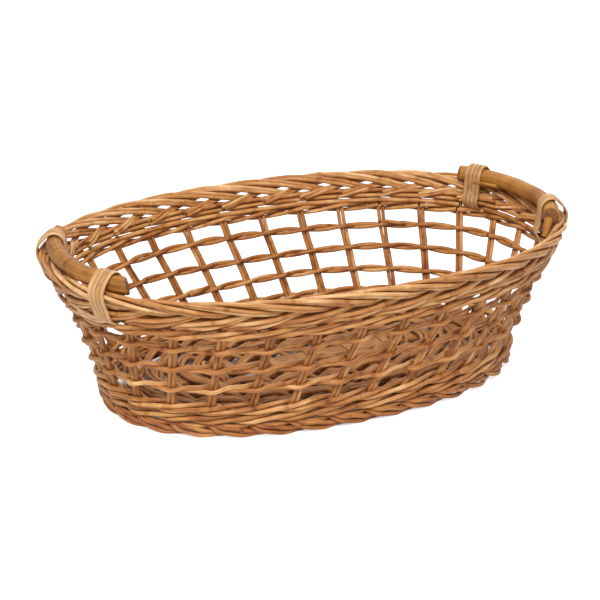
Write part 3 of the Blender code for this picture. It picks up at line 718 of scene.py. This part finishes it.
# %% Waling with its hoops and filling rods
HOOP_RINGS = 520
FOOT_HOOP_HEIGHT = 0.0084
HOOPS = {
    "waling_lower_1": (-1.2 * ROD_PITCH, FOOT_HOOP_HEIGHT, ROD_RADIUS),
    "waling_upper_1": (-0.5 * ROD_PITCH, BORDER_START + 0.98 * ROD_PITCH, ROD_RADIUS),
    "waling_upper_2": (0.17 * ROD_PITCH, BORDER_START + 4.5 * ROD_PITCH, 0.35 * ROD_PITCH),
    "waling_upper_3": (0.10 * ROD_PITCH, BORDER_START + 1.8 * ROD_PITCH, 0.42 * ROD_PITCH),
}
BINDING_PLACE = 1.5
BINDING_SHIFT = 0.1
BINDING_PLACES = [centre + BINDING_SHIFT + away * BINDING_PLACE for centre, away in (
    (0, 1), (STAKE_COUNT / 2, -1), (STAKE_COUNT / 2, 1), (STAKE_COUNT, -1),
)]
FILLING = (-0.95 * ROD_PITCH, BORDER_START - 0.07 * ROD_PITCH, 0.5 * ROD_PITCH)
FILLING_GAP = 0.35
FILLING_RINGS_PER_STAKE = 36


def hoop(outwards, height, radius):
    """A rod all round the wall, at one distance outwards and one height."""
    place = np.linspace(0, STAKE_COUNT, HOOP_RINGS, endpoint=False)
    return closed_rod(wall_points(place, outwards, height), wall_axes(place, height)[1], radius)


def filling_rod(start, stop, outwards, height, radius):
    """A rod along the inside of the wall, from one place to another."""
    place = np.linspace(start, stop, int(FILLING_RINGS_PER_STAKE * (stop - start)))
    height = height + wobble(walked_along(wall_surface(place, height)), HEIGHT_WAVER, HEIGHT_WAVE)
    out = wall_axes(place, height)[1]
    return rod(wall_points(place, outwards, height), out, radius, sides=SHADED_ROD_SIDES)


def filling_rods():
    """One rod from a little past each binding to a little before the next one."""
    following = BINDING_PLACES[1:] + [BINDING_PLACES[0] + STAKE_COUNT]
    return [
        filling_rod(place + FILLING_GAP, next_place - FILLING_GAP, *FILLING)
        for place, next_place in zip(BINDING_PLACES, following)
    ]


for band, middle, rounds in (("lower", LOWER_WALE_MIDDLE, 2), ("upper", UPPER_WALE_MIDDLE, 1)):
    for number in range(WALE_RODS):
        name = f"waling_{band}_{number + 1}"
        shapes = [wale_rod(number, middle, rounds)]
        if name in HOOPS:
            shapes.append(hoop(*HOOPS[name]))
        if name == "waling_upper_3":
            shapes += filling_rods()
        new_piece(f"rod_of_{name}", shapes, (weaver_wood, cut_wood), [name])
print("waling rods", 2 * WALE_RODS, "hoops", len(HOOPS), "filling rods", len(BINDING_PLACES))

# %% [markdown]
# The handles are one thick cane each, bent to the end of the oval and laid on the inner top edge of the
# border. A cane could be a curve with a bevel, but it is made as the rods are, so that its grain follows it.
# The ends are sawn at a slant, which leaves the outer side longer, and two closer rings take off their edge.
# The photo also shows a tapered tongue below the right cane's near end and the end of a rod beside its far
# binding, so both are in that handle's piece.

# %% Handles
CANE_RADIUS = 0.00575
CANE_REACH = 0.0705
CANE_SIDES = 28
CANE_RINGS = 90
REACH_SAMPLES = 400
CANE_WAVER = 0.03
CANE_WAVE = 0.04
CANE_REST = (-0.98, 5.23)
CANE_REST_ANGLE = 2.48
CANE_OUTWARDS = CANE_REST[0] * ROD_PITCH + (CANE_RADIUS + ROD_CLEARANCE) * math.cos(CANE_REST_ANGLE)
CANE_HEIGHT = (
    BORDER_START + CANE_REST[1] * ROD_PITCH + (CANE_RADIUS + ROD_CLEARANCE) * math.sin(CANE_REST_ANGLE)
)
EVEN_SHARE = 0.98
END_SHARES = np.array([0.99, 1.0])
END_ROUNDING = 0.1
ROUNDED_SHARES = (0.985, 1.0)
END_SLANT = 0.6
SLANTED_SHARES = (0.9, 0.98)
TONGUE_STEPS = np.array([(-2.05, -2.45, 5.3), (-2.2, -2.3, 4.5), (-2.35, -2.0, 3.7), (-2.45, -1.9, 2.9)])
TONGUE_RADII = (0.0034, 0.0019)
ROD_END_STEPS = np.array([(1.6, -3.8, 4.7), (1.2, -3.85, 4.8), (0.8, -3.9, 4.95)])
ROD_END_RADII = (ROD_RADIUS, 0.9 * ROD_RADIUS)


def handle(centre):
    """A circle carried along the rim, drawn in by a tenth at both sawn ends, whose outer side is longer."""
    quarter = np.linspace(0, STAKE_COUNT / 4, REACH_SAMPLES)
    reach = np.interp(CANE_REACH, walked_along(wall_surface(quarter, RIM_HEIGHT)), quarter)
    share = np.concatenate([-END_SHARES[::-1], np.linspace(-EVEN_SHARE, EVEN_SHARE, CANE_RINGS), END_SHARES])
    place = centre + reach * share
    points = wall_points(place, CANE_OUTWARDS, CANE_HEIGHT)
    radius = CANE_RADIUS * (1 - END_ROUNDING * np.interp(np.abs(share), ROUNDED_SHARES, (0, 1)))
    radius = radius * (1 - np.abs(wobble(walked_along(points), CANE_WAVER, CANE_WAVE)))
    along, out = wall_axes(place, CANE_HEIGHT)
    cane = rod(points, out, radius, sides=CANE_SIDES)
    rings = cane["points"].reshape(len(points), -1, 3)
    outer = ((rings - points[:, None]) * out[:, None]).sum(axis=2)
    slant = END_SLANT * np.sign(share) * np.interp(np.abs(share), SLANTED_SHARES, (0, 1))
    rings += along[:, None] * (outer * slant[:, None])[..., None]
    return cane


for side, centre in (("right", 0), ("left", STAKE_COUNT / 2)):
    shapes = [handle(centre)]
    if side == "right":
        shapes.append(short_rod(TONGUE_STEPS + ABOVE_BORDER, *TONGUE_RADII))
        shapes.append(short_rod(ROD_END_STEPS + ABOVE_BORDER, *ROD_END_RADII))
    new_piece(f"cane_of_handle_{side}", shapes, (handle_wood, cut_wood), [f"handle_{side}"])
print("handle cane thickness", 2 * CANE_RADIUS)

# %% [markdown]
# Each handle is lashed on twice with split cane: four flat turns side by side, under the border through the
# gap above the waling, and over the handle. A torus would be too round for turns drawn tight, so a turn is a
# rounded strip carried round a closed loop through chosen points. At the near left binding the photo shows
# where the strip ends, so two tails leave it under the border.

# %% Bindings
BINDING_TURNS = 4
STRIP_PITCH = 0.0034
STRIP_WIDTH = 0.0032
STRIP_THICKNESS = 0.0016
STRIP_SIDES = 14
STRIP_OUTLINE = circle(STRIP_SIDES) * [STRIP_WIDTH / 2, STRIP_THICKNESS / 2]
LOOP_RINGS = 96
BINDING_STEPS = np.array([
    (-2.95, 2.10), (-2.85, 0.95), (-2.05, 0.18), (1.45, 0.18),
    (2.00, 1.10), (1.95, 3.60), (1.88, 5.30), (1.45, 6.60),
])
OVER_CANE_ANGLES = np.linspace(1.15, 3.75, 6)
TAILED_BINDING = "binding_left_front"
TAIL_STEPS = np.array([
    (0.10, 1.80, 2.2), (-0.05, 2.06, 1.5), (-0.25, 2.02, 1.05),
    (-0.5, 1.86, 0.95), (-0.8, 1.68, 1.1), (-1.0, 0.9, 1.3),
])
TAIL_HEIGHTS = (0, -0.75)
TAIL_RINGS = 50
TAIL_WIDTH_SHARE = 0.85


def binding_loop():
    """Outwards and up: under the border by the steps, then round the cane on a circle a strip outside it."""
    strip_radius = CANE_RADIUS + ROD_CLEARANCE + STRIP_THICKNESS / 2
    over_cane = [CANE_OUTWARDS, CANE_HEIGHT] + strip_radius * np.column_stack([
        np.cos(OVER_CANE_ANGLES), np.sin(OVER_CANE_ANGLES)])
    loop = np.concatenate([BINDING_STEPS * ROD_PITCH + [0, BORDER_START], over_cane])
    before, after = 3, 4
    wrapped = np.concatenate([loop[-before:], loop, loop[:after]])
    marks = walked_along(wrapped)
    wanted = np.linspace(marks[before], marks[before + len(loop)], LOOP_RINGS, endpoint=False)
    return smooth_through(marks, wrapped, wanted)


def binding(place):
    """Four closed strips, set side by side along the wall."""
    loop = binding_loop()
    along, _ = wall_axes(place, RIM_HEIGHT)
    strips = []
    for turn in range(BINDING_TURNS):
        points = wall_points(place, loop[:, 0], loop[:, 1])
        points = points + along * (turn - (BINDING_TURNS - 1) / 2) * STRIP_PITCH
        ahead = ahead_on_loop(points)
        side = square_to(ahead, along)
        strips.append(carried(points, side, np.cross(ahead, side), STRIP_OUTLINE, own_tone(), closed=True))
    return strips


def binding_tail(place, raised):
    """The last length of strip, laid back to the left under the border's lower edge."""
    marks = np.arange(len(TAIL_STEPS), dtype=float)
    way = smooth_through(marks, TAIL_STEPS + [0, 0, raised], np.linspace(0, marks[-1], TAIL_RINGS))
    height = BORDER_START + way[:, 2] * ROD_PITCH
    points = wall_points(place + way[:, 0], way[:, 1] * ROD_PITCH, height)
    ahead = unit(np.gradient(points, axis=0))
    out = square_to(ahead, wall_axes(place + way[:, 0], height)[1])
    return carried(points, np.cross(out, ahead), out, STRIP_OUTLINE * TAIL_WIDTH_SHARE, own_tone())


for side, centre, back in (("right", 0, 1), ("left", STAKE_COUNT / 2, -1)):
    for end, away in (("back", back), ("front", -back)):
        name = f"binding_{side}_{end}"
        place = centre + BINDING_SHIFT + away * BINDING_PLACE
        strips = binding(place)
        if name == TAILED_BINDING:
            strips += [binding_tail(place, raised) for raised in TAIL_HEIGHTS]
        new_piece(f"strips_of_{name}", strips, (binding_wood, cut_wood), [name])
print("strips in each binding", BINDING_TURNS, "tails", len(TAIL_HEIGHTS))

# %% [markdown]
# The base is woven round the sticks by two pairs of rods that chase each other inwards. A flat disc with a
# picture of weave would show at the gaps. A round is found by the way it faces: the outermost and the
# innermost point that face one way are known, and a spiral walks from the first to the second. Each pair
# goes over one cross stick and under the next, and the other pair does the opposite. The sticks themselves
# are the model's own solids.

# %% The weave of the base
BASE_ROD_RADIUS = 0.0016
BASE_ROUNDS = 5
SPIRAL_SAMPLES = 1500 * BASE_ROUNDS
BASE_ROD_SHIFT = 1 / 8
PAIR_HALF_WIDTH = 0.97 * ROD_DIAMETER
BASE_LIFT = 0.0041
LONG_STICKS = 3
LONG_STICK_WIDTH = 0.004
CROSS_STICK_SPACING = 0.030
CROSS_STICK_WIDTH = 0.005
SLOT_WIDTH = LONG_STICKS * (LONG_STICK_WIDTH + ROD_CLEARANCE) + ROD_CLEARANCE
BASE_CORE = SLOT_WIDTH / 2 + ROD_CLEARANCE + PAIR_HALF_WIDTH
TIP_SHARES = (0.5, 0.8)
TIP_PUSH = 2.4
long_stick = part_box("base_long_stick_2")
BASE_HALF_LENGTH = long_stick[1].x - PAIR_HALF_WIDTH
BASE_HALF_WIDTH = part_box("base_cross_stick_4")[1].y - PAIR_HALF_WIDTH
BASE_MIDDLE = (long_stick[0].z + long_stick[1].z) / 2


def facing(angle):
    """On a superellipse, the normal's tangent gives the parameter by a power. The core is a stadium."""
    slope = np.abs(np.tan(angle)) * BASE_HALF_WIDTH / BASE_HALF_LENGTH
    turn = np.arctan(slope ** (OVAL_POWER / (2 * (OVAL_POWER - 1))))
    way = np.column_stack([np.cos(angle), np.sin(angle)])
    outer = np.column_stack(oval(BASE_HALF_LENGTH, BASE_HALF_WIDTH, turn)) * np.sign(way)
    return outer, np.sign(way) * [BASE_HALF_LENGTH - BASE_HALF_WIDTH, 0] + BASE_CORE * way


def stick_wave(distance, pair):
    """One at even sticks and minus one at odd ones, straight between, and the opposite for the other pair."""
    return 2 * np.abs((distance / CROSS_STICK_SPACING + pair) % 2 - 1) - 1


def over_and_under(x, y, tip, pair):
    """A sine of the clipped stick wave. Near the tip of its round a rod keeps the side that it has there."""
    full, none = TIP_SHARES
    near_tip = np.clip((none * BASE_CORE - tip + np.abs(x)) / ((none - full) * BASE_CORE), 0, 1)
    push = TIP_PUSH * near_tip * np.clip(2 - np.abs(y) / BASE_CORE, 0, 1) * np.sign(stick_wave(tip, pair))
    steepness = CROSS_STICK_SPACING / (CROSS_STICK_SPACING - CROSS_STICK_WIDTH - 2 * PAIR_HALF_WIDTH)
    return np.sin(np.pi / 2 * np.clip(steepness * stick_wave(x, pair) + push, -1, 1))


def base_rod(pair, beside):
    """A spiral from edge to core, an eighth of a round's width to one side, over and under the sticks."""
    turns = np.linspace(0, BASE_ROUNDS, SPIRAL_SAMPLES)
    inwards = ((turns + beside * BASE_ROD_SHIFT) / BASE_ROUNDS)[:, None]
    outer, core = facing(np.pi * (2 * turns + pair))
    flat = outer * (1 - inwards) + core * inwards
    outer_tip, core_tip = facing(np.zeros(1))
    tip = outer_tip[0, 0] * (1 - inwards[:, 0]) + core_tip[0, 0] * inwards[:, 0]
    walked = walked_along(flat)
    even = np.linspace(0, walked[-1], int(walked[-1] / RING_STEP))
    x, y, tip = (np.interp(even, walked, values) for values in (flat[:, 0], flat[:, 1], tip))
    height = BASE_MIDDLE + BASE_LIFT * over_and_under(x, y, tip, pair) + wobble(even, SIDE_WAVER)
    up = np.tile([0.0, 0.0, 1.0], (len(even), 1))
    return rod(np.column_stack([x, y, height]), up, BASE_ROD_RADIUS, sides=SHADED_ROD_SIDES)


print("base core", round(BASE_CORE, 5), "half length", round(BASE_HALF_LENGTH, 4))

# %% [markdown]
# The photo shows no gap between the base and the wall, but the spirals leave one. One more round would push
# the rest inwards, so two plain rods fill the gap instead. The sticks get their material here too.

# %% Edge rods and sticks
EDGE_RINGS = 400
EDGE_WAVE = 0.9
EDGE_GAPS = {"top": 0.0017, "underside": 0.0050}


def edge_rod(outwards):
    """A rod once round the base, this far outside the middle of its outermost pair."""
    turn = np.linspace(0, 2 * np.pi, EDGE_RINGS, endpoint=False)
    x, y = oval(BASE_HALF_LENGTH + outwards, BASE_HALF_WIDTH + outwards, turn)
    points = np.column_stack([x, y, BASE_MIDDLE + wobble(turn, HEIGHT_WAVER, EDGE_WAVE)])
    walked = walked_along(points)
    even = np.linspace(0, walked[-1], EDGE_RINGS, endpoint=False)
    points = np.column_stack([np.interp(even, walked, axis) for axis in points.T])
    out = unit(np.cross(ahead_on_loop(points), [0.0, 0.0, 1.0]))
    return closed_rod(points, out, BASE_ROD_RADIUS)


for pair, (face, gap) in enumerate(EDGE_GAPS.items()):
    name = f"base_weave_{face}"
    shapes = [base_rod(pair, beside) for beside in (-1, 1)] + [edge_rod(PAIR_HALF_WIDTH + gap)]
    new_piece(f"rods_of_{name}", shapes, (base_wood_painted_shade, cut_wood), [name])
for name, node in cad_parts.items():
    if name.startswith(("base_cross_stick", "base_long_stick")):
        node.material_slots[0].material = stick_wood
print("base rods", 2 * len(EDGE_GAPS), "of", BASE_ROUNDS, "rounds, and edge rods", len(EDGE_GAPS))

# %% [markdown]
# The photograph is a cut-out on white. A white world alone would leave the basket without a shadow. So the
# world and a pale floor glow only where the camera looks, while the light on the basket stays plain and its
# colours render about as written. The floor doesn't glow under the basket, where its shadow has to stay.

# %% World and floor
WORLD_LIGHT = 0.35
FLOOR_GLOW = 0.75
FLOOR_REACH = 4.0
FLOOR_COLOUR = (0.8, 0.8, 0.8, 1)
WHITE = (1, 1, 1, 1)
GLOW_START = 0.98
GLOW_FULL = 1.04


def seen_by_camera(tree):
    """One where a camera, glossy or transmission ray looks, and nought where light is gathered."""
    path = tree.nodes.new("ShaderNodeLightPath").outputs
    seen = arithmetic(tree, "MAXIMUM", path["Is Camera Ray"], path["Is Glossy Ray"])
    return arithmetic(tree, "MAXIMUM", seen, path["Is Transmission Ray"])


def beyond_foot(tree):
    """The floor's place over the foot's half sizes: no glow up to about one, and full glow just past it."""
    place = tree.nodes.new("ShaderNodeTexCoord")
    shrunk = tree.nodes.new("ShaderNodeMapping")
    shrunk.inputs["Scale"].default_value = (1 / FOOT_HALF_LENGTH, 1 / FOOT_HALF_WIDTH, 1)
    tree.links.new(place.outputs["Object"], shrunk.inputs["Vector"])
    length = tree.nodes.new("ShaderNodeVectorMath")
    length.operation = "LENGTH"
    tree.links.new(shrunk.outputs["Vector"], length.inputs[0])
    return ranged(tree, length.outputs["Value"], GLOW_START, GLOW_FULL, 0, FLOOR_GLOW)


def white_world():
    """A white sky that is seen at full strength and lights the basket at the world's own level."""
    world = bpy.data.worlds.new("soft_studio")
    world.use_nodes = True
    tree = world.node_tree
    background = tree.nodes["Background"]
    background.inputs["Color"].default_value = WHITE
    level = ranged(tree, seen_by_camera(tree), 0, 1, WORLD_LIGHT, 1)
    tree.links.new(level, background.inputs["Strength"])
    return world


def pale_floor():
    """A matt pale material, whose glow is the camera's share times the share beyond the foot."""
    material = bpy.data.materials.new("pale_floor")
    material.use_nodes = True
    tree = material.node_tree
    shader = tree.nodes["Principled BSDF"]
    shader.inputs["Base Color"].default_value = FLOOR_COLOUR
    shader.inputs["Roughness"].default_value = 1.0
    shader.inputs["Specular IOR Level"].default_value = 0.0
    shader.inputs["Emission Color"].default_value = WHITE
    glow = arithmetic(tree, "MULTIPLY", seen_by_camera(tree), beyond_foot(tree))
    tree.links.new(glow, shader.inputs["Emission Strength"])
    return material


bpy.context.scene.world = white_world()
floor_mesh = bpy.data.meshes.new("floor")
floor_corners = np.array([(-1, -1, 0), (1, -1, 0), (1, 1, 0), (-1, 1, 0)]) * FLOOR_REACH
floor_mesh.from_pydata(floor_corners.tolist(), [], [(0, 1, 2, 3)])
floor_mesh.materials.append(pale_floor())
floor = bpy.data.objects.new("floor", floor_mesh)
bpy.context.scene.collection.objects.link(floor)
print("floor", 2 * FLOOR_REACH, "m wide")

# %% [markdown]
# The photograph has soft shadows, as large lamps give. A sun would give hard ones in the weave. Two square
# area lamps are placed: a strong one high above the camera, and a weak one on the far side, which
# lightens the shadows.

# %% Lamps
def soft_lamp(name, place, size, power):
    """A square area lamp that looks at the middle of the basket."""
    data = bpy.data.lights.new(name, "AREA")
    data.size = size
    data.energy = power
    lamp = bpy.data.objects.new(name, data)
    lamp.location = place
    towards = Vector((0, 0, RIM_HEIGHT / 2)) - lamp.location
    lamp.rotation_euler = towards.to_track_quat("-Z", "Y").to_euler()
    bpy.context.scene.collection.objects.link(lamp)


soft_lamp("key_lamp", place=(-0.7, -1.1, 1.6), size=0.9, power=37)
soft_lamp("back_lamp", place=(0.8, 1.2, 1.4), size=1.2, power=12)
print("lamps", [lamp.name for lamp in bpy.data.lights])

# %% [markdown]
# The camera stands where the photograph was taken from. Azimuth is the turn round the basket and elevation
# the angle above the floor. A short lens from nearby would swell the near side, so a longer lens from
# further back gives the photograph's mild perspective. The camera's directions become one matrix.

# %% Camera
AZIMUTH = math.radians(-26.69)
ELEVATION = math.radians(20.16)
ROLL = math.radians(-0.22)
DISTANCE = 1.2801
SLIDE_RIGHT = -0.0067
SLIDE_UP = 0.0515
LENS = 107.9
SENSOR_WIDTH = 36
camera_back = np.array([
    math.sin(AZIMUTH) * math.cos(ELEVATION), -math.cos(AZIMUTH) * math.cos(ELEVATION), math.sin(ELEVATION)])
level_right = np.array([math.cos(AZIMUTH), math.sin(AZIMUTH), 0])
level_up = np.cross(camera_back, level_right)
camera_right = math.cos(ROLL) * level_right + math.sin(ROLL) * level_up
camera_up = math.cos(ROLL) * level_up - math.sin(ROLL) * level_right
camera_data = bpy.data.cameras.new("photo_camera")
camera_data.lens = LENS
camera_data.sensor_width = SENSOR_WIDTH
camera = bpy.data.objects.new("photo_camera", camera_data)
placing = np.eye(4)
placing[:3, :3] = np.column_stack([camera_right, camera_up, camera_back])
placing[:3, 3] = DISTANCE * camera_back + SLIDE_RIGHT * camera_right + SLIDE_UP * camera_up
camera.matrix_world = Matrix(placing.tolist())
bpy.context.scene.collection.objects.link(camera)
bpy.context.scene.camera = camera
bpy.context.scene.view_settings.view_transform = "Standard"
print("camera at", np.round(placing[:3, 3], 3).tolist())
